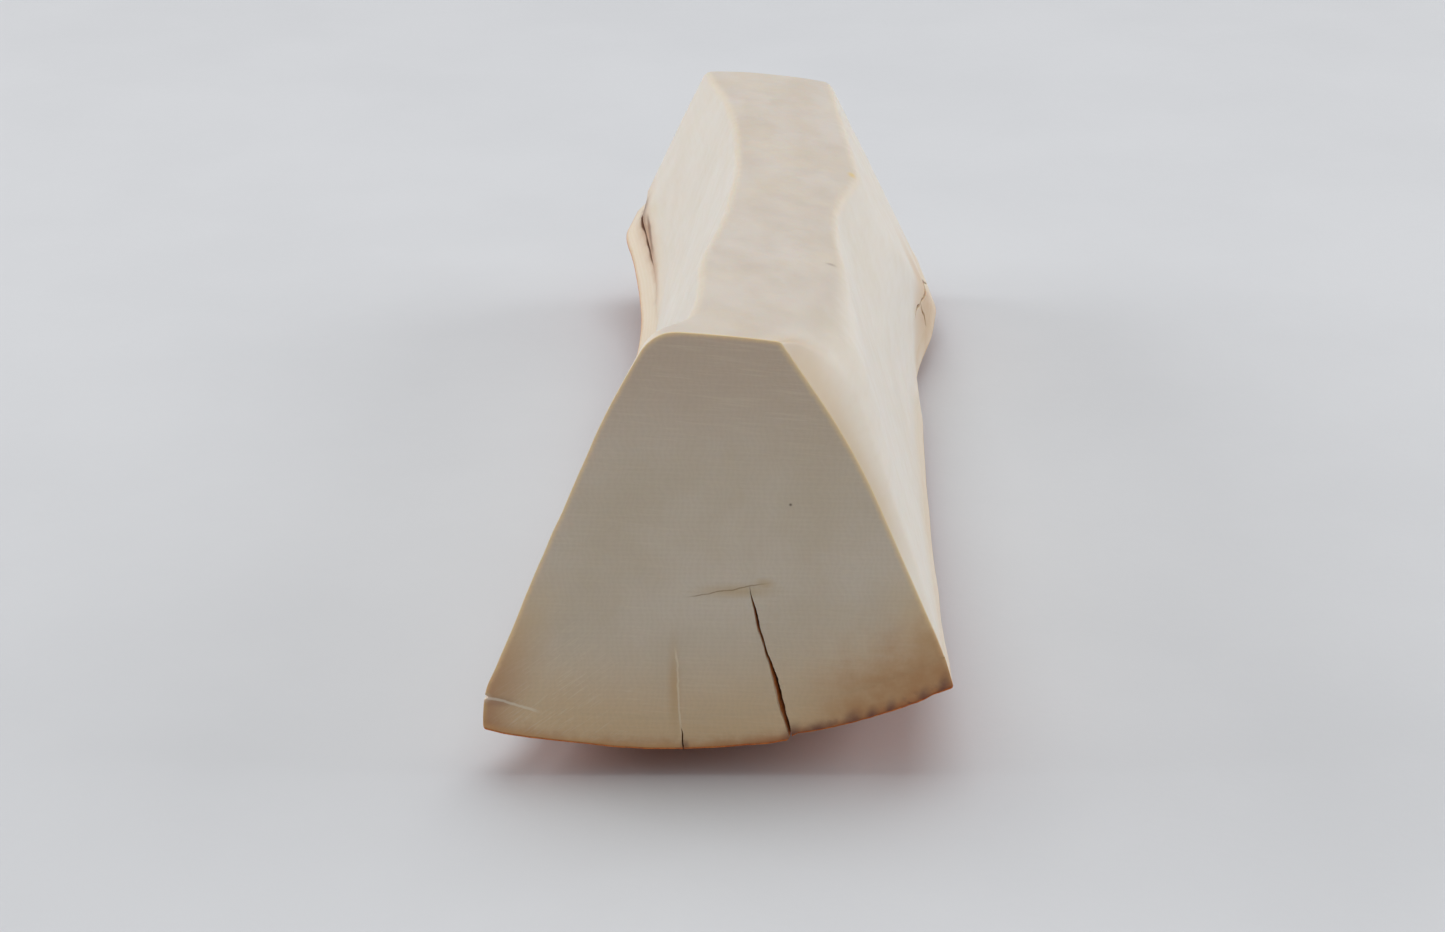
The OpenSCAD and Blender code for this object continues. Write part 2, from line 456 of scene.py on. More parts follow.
def bark_levels():
    """Points of the bark by station, depth and place across."""
    y = stations(finest=0.05, growth=0.12, coarsest=0.80)
    row = y[:, None]
    slope = (row - LOWEST[1]) / math.cos(TUSK_YAW)
    axis_x = LOWEST[0] + (row - LOWEST[1]) * math.tan(TUSK_YAW)
    axis_z = BEND_RADIUS - np.sqrt((BEND_RADIUS - TUSK_RADIUS) ** 2 - slope**2)

    def at(angle, depth):
        """The point at an angle round the tusk's axis and a depth below its outer curve."""
        radius = TUSK_RADIUS - depth + 0 * angle
        for _ in range(4):
            p = (axis_x + radius * np.sin(angle), row + 0 * angle, axis_z - radius * np.cos(angle))
            radius = radius + tusk_depth(p) - depth
        return p

    depths = np.array([0.0, 0.05, 0.14, 0.28, 0.5, 0.85, 1.4, 2.1, 2.9, 3.6, BARK])
    middle_x = 9.0 * row / LENGTH - 0.5
    start = np.arcsin((middle_x - axis_x) / TUSK_RADIUS)

    def limit(cuts, depth, side):
        """Angle of one side of the bark at a depth, rounded towards the natural face."""

        def inside(angle):
            p = at(angle, depth)
            return either(cuts(p), ends(p), END_SOFT) < SKIN

        rounding = 0.16 * max(0.0, 1 - depth / 0.4) ** 2
        edge = bisect(inside, start, start + side * math.radians(45), steps=26)
        return edge - side * rounding / TUSK_RADIUS

    left = np.concatenate([limit(ledge_cuts, d, LEFT) for d in depths], axis=1)
    right = np.concatenate([limit(right_cuts, d, RIGHT) for d in depths], axis=1)
    share = clustered(112, bias=0.62)[None, :]

    def level(k):
        first, last = left[:, k : k + 1], right[:, k : k + 1]
        angle = first + (last - first) * share
        p = at(angle, 0.0)
        rough = outer_depth(p) * (1 - depths[k] / BARK)
        gap = delaminated(p, row) * np.exp(-(angle - first) * TUSK_RADIUS / 2.2)
        return np.stack(at(angle, depths[k] * (1 - gap / BARK) + rough), axis=2)

    return np.stack([level(k) for k in range(len(depths))], axis=1)


def bark_mesh():
    """The outer points of the levels joined along the block, each end filled with all of them."""
    levels = bark_levels()
    along, deep, count = levels.shape[:3]
    natural, inner_face = levels[:, 0], levels[:, -1, ::-1]
    right_side, left_side = levels[:, 1:-1, -1], levels[:, -2:0:-1, 0]
    loops = np.concatenate([natural, right_side, inner_face, left_side], axis=1)
    size = loops.shape[1]
    number = np.arange(along * size).reshape(along, size)
    points, faces = [loops.reshape(-1, 3)], []
    for i in range(along - 1):
        faces += side_by_side(number[i + 1], number[i], True)
    total = number.size
    for i, flip in ((0, True), (along - 1, False)):
        grid = np.zeros((deep, count), int)
        grid[0] = number[i, :count]
        grid[1:-1, -1] = number[i, count : count + deep - 2]
        grid[-1] = number[i, count + deep - 2 : 2 * count + deep - 2][::-1]
        grid[1:-1, 0] = number[i, 2 * count + deep - 2 :][::-1]
        filling = (deep - 2) * (count - 2)
        grid[1:-1, 1:-1] = np.arange(total, total + filling).reshape(deep - 2, count - 2)
        total += filling
        points.append(levels[i, 1:-1, 1:-1].reshape(-1, 3))
        for j in range(deep - 1):
            pair = (grid[j], grid[j + 1]) if flip else (grid[j + 1], grid[j])
            faces += side_by_side(pair[0], pair[1], False)
    return make_mesh("bark_layer", np.concatenate(points), faces)


# ---------------------------------------------------------------- cracks

CHIP_PLACE, CHIP_SIZE = (-28.2, 0.0, 10.5), (0.85, 1.0, 0.42)
RIM_CRACK = [(-4.85, 6.4), (-4.75, 5.2), (-4.5, 3.0)]  # X and Z on the front end
# Y and Z on the right flank
BULGE_CRACK = [(150, 5.6), (142, 9.2), (133, 11.6), (128, 12.4), (121.5, 12.9)]
UPPER_CRACK = [(122.4, 12.8), (118.5, 13.2), (115.5, 12.8)]
LOWER_CRACK = [(122.6, 12.7), (123.5, 11.4), (124.8, 9.8), (126.0, 7.6)]


def closed_sweep(name, loops):
    """Closed solid through a list of loops with the same number of points, flat at both ends."""
    loops = np.asarray(loops)
    count = loops.shape[1]
    if count % 2:
        raise ValueError("a sweep needs an even number of points a loop")
    number = np.arange(loops.shape[0] * count).reshape(loops.shape[:2])
    faces = []
    for i in range(len(loops) - 1):
        faces += side_by_side(number[i], number[i + 1], True)
    for row, flip in ((number[0], True), (number[-1], False)):
        for j in range(count // 2 - 1):
            quad = [int(row[k]) for k in (j, j + 1, count - 2 - j, count - 1 - j)]
            faces.append(quad[::-1] if flip else quad)
    return make_mesh(name, loops.reshape(-1, 3), faces)


def open_crack():
    """The wide ragged crack from the underside into the front end."""
    lip = [-1.0, 0.0, 0.12, 0.26, 0.42, 0.6, 0.85, 1.2, 1.7, 2.3]
    y = np.concatenate([lip, np.linspace(3.0, CRACK_RUN - 0.2, 54)])[:, None]
    bottom = -3.0
    z = bottom + (crack_tip(y) - bottom) * np.linspace(0, 1, 90)[None, :]
    middle = crack_middle(z)
    place = (middle, y + 0 * z, z)
    middle = middle + 0.10 * waves(place, 3.0, 61) + 0.25 * waves((0 * z, y + 0 * z, 0 * z), 12, 62)
    half = np.maximum(crack_half_width(y, z), 0.012)
    ragged = np.minimum(half, 0.3)
    # the left wall leans across the crack behind the front, so that it catches the light
    lean = 1.15 * half * (1 - np.exp(-np.clip(y, 0, None) / 0.8))
    left = middle - half + lean - 0.22 * ragged * waves(place, 0.9, 63)
    right = middle + half + 0.22 * ragged * waves(place, 0.8, 64)
    left, right = np.minimum(left, middle - 0.008), np.maximum(right, middle + 0.008)
    walls = [np.stack([x, place[1], z], axis=2) for x in (left, right)]
    return closed_sweep("cut_open", np.concatenate([walls[0], walls[1][:, ::-1]], axis=1))


def groove(name, path, normals, width, depth, seed):
    """Thin tapering wedge along a path, cut into the surface against the normals."""
    path, normals = np.asarray(path, float), np.asarray(normals, float)
    run = np.concatenate([[0], np.cumsum(np.linalg.norm(np.diff(path, axis=0), axis=1))])
    t = np.linspace(0, run[-1], max(8, int(run[-1] / 0.35)))
    p = np.stack([np.interp(t, run, path[:, k]) for k in range(3)], axis=1)
    n = np.stack([np.interp(t, run, normals[:, k]) for k in range(3)], axis=1)
    n /= np.linalg.norm(n, axis=1)[:, None]
    along = np.gradient(p, axis=0)
    across = np.cross(along, n)
    across /= np.linalg.norm(across, axis=1)[:, None]
    p = p + across * (0.16 * waves(p.T, 2.2, seed))[:, None]
    swell = np.clip(np.sin(math.pi * np.clip(t / t[-1], 0.02, 0.98)) ** 0.5, 0.12, 1)
    swell = swell * (1 + 0.25 * waves(p.T, 1.3, seed + 1))
    half, deep = (width / 2 * swell)[:, None], (depth * swell)[:, None]
    above = 0.5
    loops = [
        p + n * above - across * half,
        p + n * above + across * half,
        p - n * deep + across * half * 0.12,
        p - n * deep - across * half * 0.12,
    ]
    return closed_sweep(name, np.stack(loops, axis=1))


def on_right(places):
    """Points and outward directions along a line on the right flank."""
    places = np.array(places, float)
    share = np.linspace(0, 1, 40)
    marks = np.linspace(0, 1, len(places))
    y, z = (np.interp(share, marks, places[:, k]) for k in range(2))

    def solid(x):
        p = (x, y, z)
        return np.maximum(right_cuts(p), -tusk_depth(p)) < 0

    inside, outside = np.full_like(y, 10.0), np.full_like(y, 50.0)
    x = bisect(solid, inside, outside, STEPS)
    e = 0.2
    grad = []
    for dx, dy, dz in ((e, 0, 0), (0, e, 0), (0, 0, e)):
        grad.append(right_cuts((x + dx, y + dy, z + dz)) - right_cuts((x - dx, y - dy, z - dz)))
    return np.stack([x, y, z], axis=1), np.stack(grad, axis=1)


def on_front(places):
    """Points and outward directions along a line on the front end."""
    return [(x, 0.0, z) for x, z in places], [(0, -1, 0)] * len(places)


def chip():
    """Small flake broken out of the upright left corner of the front end."""
    mesh = bpy.data.meshes.new("cut_chip")
    bm = bmesh.new()
    bmesh.ops.create_icosphere(bm, subdivisions=3, radius=1.0)
    co = np.array([v.co for v in bm.verts])
    ragged = 1 + 0.16 * waves(co.T, 0.9, 71)
    co = co * ragged[:, None] * np.array(CHIP_SIZE) + np.array(CHIP_PLACE)
    for v, c in zip(bm.verts, to_row(co)):
        v.co = c
    bm.to_mesh(mesh)
    bm.free()
    return add_object("cut_chip", mesh)


def carve_away(piece, cutters):
    """Subtract the cutters and keep the result as the piece's own mesh."""
    for cutter in cutters:
        cut = piece.modifiers.new(cutter.name, "BOOLEAN")
        cut.operation = "DIFFERENCE"
        cut.solver = "MANIFOLD"
        cut.object = cutter
    bpy.context.view_layer.update()
    graph = bpy.context.evaluated_depsgraph_get()
    result = bpy.data.meshes.new_from_object(piece.evaluated_get(graph))
    piece.modifiers.clear()
    old = piece.data
    piece.data = result
    result.name = piece.name
    bpy.data.meshes.remove(old)


dentine_piece = dentine_mesh()
bark_piece = bark_mesh()
cutters = [
    open_crack(),
    groove("cut_rim", *on_front(RIM_CRACK), 0.26, 1.4, 72),
    groove("cut_bulge", *on_right(BULGE_CRACK), 1.25, 1.0, 74),
    groove("cut_upper", *on_right(UPPER_CRACK), 1.0, 0.8, 76),
    groove("cut_lower", *on_right(LOWER_CRACK), 1.0, 0.8, 78),
    chip(),
]
carve_away(dentine_piece, cutters)
carve_away(bark_piece, cutters)
for cutter in cutters:
    bpy.data.meshes.remove(cutter.data)
for piece in (dentine_piece, bark_piece):
    piece.data.shade_smooth()
    piece.data.set_sharp_from_angle(angle=math.radians(38))


# ---------------------------------------------------------------- materials


def keep_places(piece, sides):
    """Store where each point lies in the tusk and in the carving, for the materials to read."""
    count = len(piece.data.vertices)
    co = np.empty(count * 3)
    piece.data.vertices.foreach_get("co", co)
    p = ((co.reshape(-1, 3) - ORIGIN) / MM).T
    deep = tusk_depth(p)
    deep = deep - outer_depth(p) * np.clip(1 - deep / BARK, 0, 1)
    inside = -sides(p)
    # the walls of the cracks are the only faces away from every outer face
    hollow = np.minimum(np.minimum(inside, deep), np.minimum(-ends(p), -left_cuts(p)))
    right = either(right_cuts(p), front_right(p), front_right_soft(p))
    stored = {
        "depth": deep,  # below the natural outer face
        "inside": inside,  # in from the carved faces
        "hollow": hollow,  # in from every outer face
        "top": top_cut(p) - np.maximum(left_cuts(p), right),  # above 0 on the top
    }
    for name, values in stored.items():
        layer = piece.data.attributes.new(name, "FLOAT", "POINT")
        layer.data.foreach_set("value", values.astype(np.float32))


def bark_sides(p):
    """Everything carved off the bark."""
    return np.maximum(ledge_cuts(p), right_cuts(p))


def linear(channel):
    """One channel of a screen colour, 0 to 255, as linear light."""
    v = channel / 255
    return v / 12.92 if v <= 0.04045 else ((v + 0.055) / 1.055) ** 2.4


def tone(red, green, blue):
    """Screen colour as the linear colour that a socket takes."""
    return (linear(red), linear(green), linear(blue), 1.0)


# carved faces
CREAM, WARM_CREAM = tone(231, 225, 215), tone(227, 219, 206)
GRAIN_STREAK = tone(212, 196, 170)
NEAR_BARK = tone(226, 203, 168)
SCOOP_STAIN = tone(205, 183, 152)
# tans of the top, partly its own tone and partly painted shade
TOP_TAN_SHADED, TOP_CLOUD, TOP_YELLOW = tone(210, 203, 195), tone(202, 192, 180), tone(210, 199, 178)
# painted highlight along the ridges of the top
RIDGE_HIGHLIGHT = tone(229, 213, 183)
NICK, YELLOW_SPECK = tone(150, 132, 120), tone(222, 196, 120)

# sawn ends
# tones of the sawn ends, darker than the flanks partly as painted shade
FACE, FACE_CLOUD = tone(216, 204, 186), tone(209, 195, 173)
FACE_TOP, FACE_LOW = tone(206, 187, 166), tone(219, 188, 143)
HATCH, SCRATCH = tone(176, 160, 132), tone(232, 220, 196)
SIDE_GLOW_LOW, SIDE_GLOW_HIGH = tone(180, 130, 90), tone(221, 190, 138)
SIDE_RIM_LOW, SIDE_RIM_HIGH = tone(204, 166, 110), tone(240, 216, 168)
RIM_LEFT, RIM_RIGHT = tone(208, 160, 106), tone(172, 104, 56)
BURNT, SEEP, DIRT = tone(186, 138, 88), tone(182, 126, 78), tone(112, 72, 60)
RING_GLOW, RING_LINE = tone(190, 158, 98), tone(140, 108, 68)
LINE_GLOW, PALE_LINE = tone(196, 156, 100), tone(238, 224, 196)
CHIP_STAIN, CHIP_LINE, FRESH_CHIP = tone(160, 122, 100), tone(236, 228, 210), tone(233, 226, 214)
PIT = tone(70, 48, 34)

# bark
BARK_SIDE, BARK_LAYER, BARK_CLOUD = tone(228, 216, 198), tone(219, 202, 176), tone(222, 206, 182)
BARK_EDGE = tone(206, 162, 116)
BARK_DARK, BARK_LIGHT, BARK_SPECK = tone(200, 96, 34), tone(236, 138, 60), tone(104, 66, 42)

# cracks
BULGE_STAIN = tone(203, 168, 124)
# crack walls: painted light at the front lip, painted shade deeper in, brown in the far crack
WALL_LIT, WALL_SHADE, WALL_FAR, WALL_CLOUD = (
    tone(226, 152, 86),
    tone(84, 52, 32),
    tone(132, 92, 72),
    tone(110, 66, 38),
)
JOINT_HALO, JOINT_PALE, JOINT_DARK = tone(184, 146, 118), tone(186, 144, 116), tone(120, 88, 76)
STRAND = tone(134, 102, 86)

# marks on the front end, X and Z: lines from start to end, and a pit
RING_LINE_ENDS = (-4.2, 23.5), (5.4, 25.4)
PALE_LINE_ENDS = (-5.5, 17.5), (-4.8, 5.2)
CHIP_LINE_ENDS = (-28.4, 10.9), (-21.0, 8.5)
PIT_PLACE = (7.7, 35.2)
# dirt at the natural rim of the sawn ends: X, half width, height above the rim, strength
RIM_SMUDGES = (
    (11.2, 3.0, 1.8, 1.0),
    (15.2, 1.7, 2.5, 1.0),
    (17.4, 1.2, 2.0, 1.0),
    (19.6, 1.0, 2.3, 1.0),
    (23.4, 1.2, 2.2, 1.0),
    (25.7, 1.1, 3.0, 1.0),
    (8.2, 1.7, 2.6, 0.9),
    (-4.4, 0.8, 1.8, 0.8),
)
# marks on the top, X and Y
NICK_PLACE, SPECK_PLACE = (13.4, 39.8), (18.2, 94.6)
# middle of the bulge on the right flank, Y and Z
BULGE_PLACE = (129.0, 11.0)
HATCH_CELL = 0.92  # spacing of the lines of the end grain


class Surface:
    """A node material whose patterns are measured in millimetres in the carving frame."""

    def __init__(self, name):
        self.material = bpy.data.materials.new(name)
        self.material.use_nodes = True
        self.tree = self.material.node_tree
        self.tree.nodes.clear()
        coords = self.tree.nodes.new("ShaderNodeTexCoord")
        self.place = self.turned(coords.outputs["Object"], [-v / MM for v in ORIGIN], (1 / MM,) * 3)
        split = self.tree.nodes.new("ShaderNodeSeparateXYZ")
        self.put(self.place, split.inputs[0])
        self.x, self.y, self.z = split.outputs

    def put(self, value, socket):
        """Link a value to a socket, or set it there where it is the same everywhere."""
        if isinstance(value, bpy.types.NodeSocket):
            self.tree.links.new(value, socket)
        else:
            socket.default_value = value

    def turned(self, vector, location=(0, 0, 0), scale=(1, 1, 1), angle=0.0):
        """Scale a vector, turn it about Y by an angle in degrees, then move it."""
        node = self.tree.nodes.new("ShaderNodeMapping")
        self.put(vector, node.inputs["Vector"])
        node.inputs["Location"].default_value = location
        node.inputs["Rotation"].default_value = (0, math.radians(angle), 0)
        node.inputs["Scale"].default_value = scale
        return node.outputs[0]

    def math(self, operation, a, b=0.0):
        node = self.tree.nodes.new("ShaderNodeMath")
        node.operation = operation
        for value, socket in zip((a, b), node.inputs):
            self.put(value, socket)
        return node.outputs[0]

    def add(self, *values):
        total = values[0]
        for value in values[1:]:
            total = self.math("ADD", total, value)
        return total

    def times(self, *values):
        total = values[0]
        for value in values[1:]:
            total = self.math("MULTIPLY", total, value)
        return total

    def rest_of(self, share):
        return self.math("SUBTRACT", 1.0, share)

    def rise(self, value, low, high, start=0.0, end=1.0):
        """Smooth step from start to end as the value goes from low to high."""
        node = self.tree.nodes.new("ShaderNodeMapRange")
        node.interpolation_type = "SMOOTHSTEP"
        inputs = {"Value": value, "From Min": low, "From Max": high, "To Min": start, "To Max": end}
        for key, v in inputs.items():
            self.put(v, node.inputs[key])
        return node.outputs[0]

    def mix(self, share, a, b):
        """Colour a where the share is 0, colour b where it is 1."""
        node = self.tree.nodes.new("ShaderNodeMix")
        node.data_type = "RGBA"
        self.put(share, node.inputs["Factor"])
        self.put(a, node.inputs[6])
        self.put(b, node.inputs[7])
        return node.outputs[2]

    def noise(self, scale, detail=3.0, rough=0.55, stretch=(1, 1, 1), angle=0.0):
        node = self.tree.nodes.new("ShaderNodeTexNoise")
        turned = self.turned(self.place, angle=angle)
        self.put(self.turned(turned, scale=stretch), node.inputs["Vector"])
        node.inputs["Scale"].default_value = scale
        node.inputs["Detail"].default_value = detail
        node.inputs["Roughness"].default_value = rough
        return node.outputs["Fac"]

    def stored(self, name):
        """A value that keep_places stored on the points."""
        node = self.tree.nodes.new("ShaderNodeAttribute")
        node.attribute_name = name
        return node.outputs["Fac"]

    def offset(self, value, middle, size):
        """Distance from the middle as a share of the size."""
        return self.math("DIVIDE", self.math("SUBTRACT", value, middle), size)

    def away(self, a, b):
        return self.math("SQRT", self.add(self.times(a, a), self.times(b, b)))

    def spot(self, x, z, wide, high):
        """Soft patch across the block, seen from the front, 1 in its middle."""
        away = self.away(self.offset(self.x, x, wide), self.offset(self.z, z, high))
        return self.rise(away, 0.0, 1.0, 1.0, 0.0)

    def top_spot(self, x, y, wide, long):
        """Soft patch on the top."""
        away = self.away(self.offset(self.x, x, wide), self.offset(self.y, y, long))
        return self.times(self.rise(away, 0.0, 1.0, 1.0, 0.0), self.rise(self.z, 30.0, 36.0))

    def hairline(self, start, end, width, wobble):
        """Thin line between two places, X and Z, that fades at both."""
        dx, dz = end[0] - start[0], end[1] - start[1]
        size = math.hypot(dx, dz)
        x, z = self.math("SUBTRACT", self.x, start[0]), self.math("SUBTRACT", self.z, start[1])
        run = self.add(self.times(x, dx / size**2), self.times(z, dz / size**2))
        off = self.add(self.times(x, dz / size), self.times(z, -dx / size))
        off = self.add(off, self.times(self.add(wobble, -0.5), 0.9))
        line = self.rise(self.math("ABSOLUTE", off), width * 0.3, width, 1.0, 0.0)
        return self.times(line, self.rise(run, -0.02, 0.15), self.rise(run, 0.8, 1.02, 1.0, 0.0))

    def finish(self, colour, rough, height, scatter):
        """Join colour, roughness and relief in a shader; scatter is its share of soft light."""
        shader = self.tree.nodes.new("ShaderNodeBsdfPrincipled")
        output = self.tree.nodes.new("ShaderNodeOutputMaterial")
        bump = self.tree.nodes.new("ShaderNodeBump")
        bump.inputs["Distance"].default_value = MM
        bump.inputs["Strength"].default_value = 1.0
        self.put(height, bump.inputs["Height"])
        self.put(colour, shader.inputs["Base Color"])
        self.put(rough, shader.inputs["Roughness"])
        self.put(bump.outputs[0], shader.inputs["Normal"])
        shader.inputs["IOR"].default_value = 1.54
        shader.inputs["Subsurface Weight"].default_value = scatter
        shader.inputs["Subsurface Radius"].default_value = (1.0, 0.55, 0.28)
        shader.inputs["Subsurface Scale"].default_value = 1.1 * MM
        self.put(shader.outputs[0], output.inputs["Surface"])
        return self.material


class Ivory(Surface):
    """A surface of the part, with the patterns that its colour, gloss and relief share."""

    def __init__(self, name):
        super().__init__(name)
        self.depth, self.inside, self.hollow, self.top = (
            self.stored(key) for key in ("depth", "inside", "hollow", "top")
        )
        self.broad = self.noise(0.06, 3)
        self.medium = self.noise(0.28, 4)
        self.fine = self.noise(1.3, 4, 0.6)
        self.long_grain = self.noise(0.9, 5, 0.6, (1, 0.045, 1))
        self.front = self.rise(self.y, 0.04, 0.22, 1.0, 0.0)
        far = self.rise(self.y, LENGTH - 0.22, LENGTH - 0.04)
        self.sawn = self.math("MAXIMUM", self.front, far)
        # near the front the right ridge is rounded off, and top and flank run into each other
        near = self.rise(self.y, 8.0, 50.0, 1.0, 0.0)
        self.blurred = self.times(near, self.rise(self.x, 1.0, 7.0))
        low, high = self.times(self.blurred, -2.5), self.add(self.times(self.blurred, 3.0), 1.3)
        self.on_top = self.rise(self.add(self.top, self.times(self.medium, 0.8)), low, high)
        self.hatch = self.crossing_lines()
        self.lower_left = self.times(
            self.rise(self.x, -18.0, -4.0, 1.0, 0.0), self.rise(self.z, 14.0, 30.0, 1.0, 0.0)
        )
        self.scratch = self.add(
            self.times(self.noise(2.2, 3, 0.6, (0.06, 1, 1.5), -6), self.rest_of(self.lower_left)),
            self.times(self.noise(2.8, 4, 0.65, (0.09, 1, 1.8), 38), self.lower_left),
        )
        ring_line = self.hairline(*RING_LINE_ENDS, 0.11, self.medium)
        self.ring_line = self.times(ring_line, self.front)
        pale_line = self.hairline(*PALE_LINE_ENDS, 0.17, self.medium)
        self.pale_line = self.times(pale_line, self.front)

    def rim_spot(self, x, wide, high):
        """Soft patch on a sawn end, strongest at the natural rim."""
        away = self.away(self.offset(self.x, x, wide), self.math("DIVIDE", self.depth, high))
        return self.rise(away, 0.0, 1.0, 1.0, 0.0)

    def crossing_lines(self):
        """The tusk's end grain: two sets of slanted lines that cross."""
        lines = []
        for side in (LEFT, RIGHT):
            wander = self.times(self.medium, 2.6)
            slant = self.add(self.times(self.x, 0.62), self.times(self.z, side * 0.78), wander)
            lines.append(self.math("SINE", self.times(slant, 2 * math.pi / HATCH_CELL)))
        return self.times(lines[0], lines[1])


def carved_colour(s):
    # flanks: polished cream, warmer towards the bark
    flank = s.mix(s.rise(s.broad, 0.3, 0.7), CREAM, WARM_CREAM)
    flank = s.mix(s.rise(s.long_grain, 0.4, 0.8, 0.0, 0.16), flank, GRAIN_STREAK)
    warm = s.rise(s.add(s.depth, s.times(s.medium, 6)), 5.0, 12.0, 0.6, 0.0)
    flank = s.mix(warm, flank, NEAR_BARK)
    # brown stain behind the upper right edge of the front end
    behind = s.add(s.y, s.times(s.broad, 5), s.times(s.z, -0.10))
    stained = s.rise(behind, -2.0, 3.4, 0.75, 0.0)
    stained = s.times(stained, s.rise(s.x, 2.0, 8.0), s.rise(s.z, 22.0, 36.0))
    flank = s.mix(stained, flank, SCOOP_STAIN)
    # top: duller tan, with a painted yellow highlight along its ridges
    # the top's duller tan is partly its own tone and partly painted shade, as the top takes less of
    # the side lamps' light than the flanks
    cloud = s.noise(0.16, 3, 0.5, (1, 0.35, 1))
    tan = s.mix(s.rise(cloud, 0.3, 0.75), TOP_TAN_SHADED, TOP_CLOUD)
    tan = s.mix(s.rise(s.broad, 0.45, 0.65, 0.0, 0.3), tan, TOP_YELLOW)
    colour = s.mix(s.on_top, flank, tan)
    # painted highlight: a yellow line of light along both ridges of the top, left out near the front
    # where the right ridge is rounded off
    ridge = s.rise(s.math("ABSOLUTE", s.top), 0.1, 1.3, 0.22, 0.0)
    colour = s.mix(s.times(ridge, s.rest_of(s.blurred)), colour, RIDGE_HIGHLIGHT)
    # small nick and yellow speck on the top, beside its right ridge
    colour = s.mix(s.times(s.top_spot(*NICK_PLACE, 1.0, 0.9), 0.6), colour, NICK)
    return s.mix(s.times(s.top_spot(*SPECK_PLACE, 0.8, 2.2), 0.8), colour, YELLOW_SPECK)


def sawn_colour(s):
    # greyer and darker than the flanks, partly the sawn ivory's own tone and partly painted shade of
    # an end turned away from the lamps; yellow low down
    face = s.mix(s.rise(s.broad, 0.35, 0.65), FACE, FACE_CLOUD)
    face = s.mix(s.rise(s.z, 36.0, 54.0, 0.0, 0.9), face, FACE_TOP)
    low = s.rise(s.add(s.depth, s.times(s.broad, 9)), 4.0, 21.0, 0.85, 0.0)
    face = s.mix(low, face, FACE_LOW)
    face = s.mix(s.rise(s.hatch, -0.7, 0.9, 0.0, 0.10), face, HATCH)
    near_top = s.rise(s.z, 38.0, 50.0)
    strength = s.add(0.12, s.times(s.lower_left, 0.30), s.times(near_top, 0.10))
    face = s.mix(s.times(s.rise(s.scratch, 0.50, 0.68), strength), face, SCRATCH)
    # light shows through the edges of the two flanks
    glow = s.rise(s.add(s.inside, s.medium), 0.4, 5.6, 0.78, 0.0)
    glow = s.times(glow, s.rise(s.z, 14.0, 30.0, 1.0, 0.0))
    face = s.mix(glow, face, s.mix(s.rise(s.z, 8.0, 24.0), SIDE_GLOW_LOW, SIDE_GLOW_HIGH))
    rim = s.rise(s.add(s.inside, s.times(s.fine, 0.4)), 0.2, 0.85, 0.75, 0.0)
    face = s.mix(rim, face, s.mix(s.rise(s.z, 6.0, 18.0), SIDE_RIM_LOW, SIDE_RIM_HIGH))
    return front_marks(s, natural_rim(s, face))


def natural_rim(s, face):
    """Browning and dirt along the lower rim of a sawn end."""
    patchy = s.noise(0.34, 3, 0.6)
    burnt = s.rise(s.add(s.depth, s.times(patchy, 11.0)), 4.5, 18.5, 0.92, 0.0)
    face = s.mix(s.times(burnt, s.rise(s.x, 7.0, 17.0)), face, BURNT)
    seep = s.rise(s.add(s.depth, s.times(patchy, 4.0)), 1.6, 4.2, 0.55, 0.0)
    face = s.mix(seep, face, SEEP)
    edge = s.rise(s.add(s.depth, s.times(s.medium, 1.2)), 0.5, 1.7, 0.9, 0.0)
    face = s.mix(edge, face, s.mix(s.rise(s.x, -8.0, 8.0), RIM_LEFT, RIM_RIGHT))
    # darker smudges where dirt crept in from the rim
    dirt = s.times(s.rise(s.noise(0.75, 2), 0.50, 0.66), s.rise(s.depth, 0.0, 2.0, 0.7, 0.0))
    dirt = s.times(dirt, s.rise(s.x, 7.0, 12.0))
    for x, wide, high, strength in RIM_SMUDGES:
        smudge = s.times(s.rim_spot(x, wide, high), strength)
        dirt = s.math("MAXIMUM", dirt, smudge)
    dirt = s.times(dirt, s.rise(s.fine, 0.25, 0.6, 0.65, 0.92), s.rise(s.y, 0.5, 4.0, 1.0, 0.45))
    return s.mix(dirt, face, DIRT)


def front_marks(s, face):
    """Marks that only the front end has."""
    glow = s.math("MAXIMUM", s.spot(1.6, 24.3, 6.5, 1.3), s.spot(4.8, 25.2, 1.8, 1.0))
    face = s.mix(s.times(glow, s.front, 0.45), face, RING_GLOW)
    face = s.mix(s.times(s.ring_line, 0.55), face, RING_LINE)
    face = s.mix(s.times(s.spot(-5.6, 12.0, 1.1, 8.5), s.front, 0.5), face, LINE_GLOW)
    face = s.mix(s.times(s.pale_line, 0.55), face, PALE_LINE)
    face = s.mix(s.times(s.spot(-26.0, 9.9, 2.6, 1.0), s.front, 0.5), face, CHIP_STAIN)
    chip_line = s.hairline(*CHIP_LINE_ENDS, 0.26, s.medium)
    face = s.mix(s.times(chip_line, s.front, 0.55), face, CHIP_LINE)
    return s.mix(s.times(s.spot(*PIT_PLACE, 0.28, 0.28), s.front, 0.9), face, PIT)


def bark_side_colour(s, layers):
    """Cut edge of the bark: thin growth layers, browner towards the outside."""
    side = s.mix(s.rise(layers, -0.8, 1.0, 0.0, 0.22), BARK_SIDE, BARK_LAYER)
    side = s.mix(s.rise(s.broad, 0.4, 0.65, 0.0, 0.5), side, BARK_CLOUD)
    outer = s.rise(s.add(s.depth, s.times(s.medium, 0.8)), 0.4, 1.4, 0.6, 0.0)
    return s.mix(outer, side, BARK_EDGE)


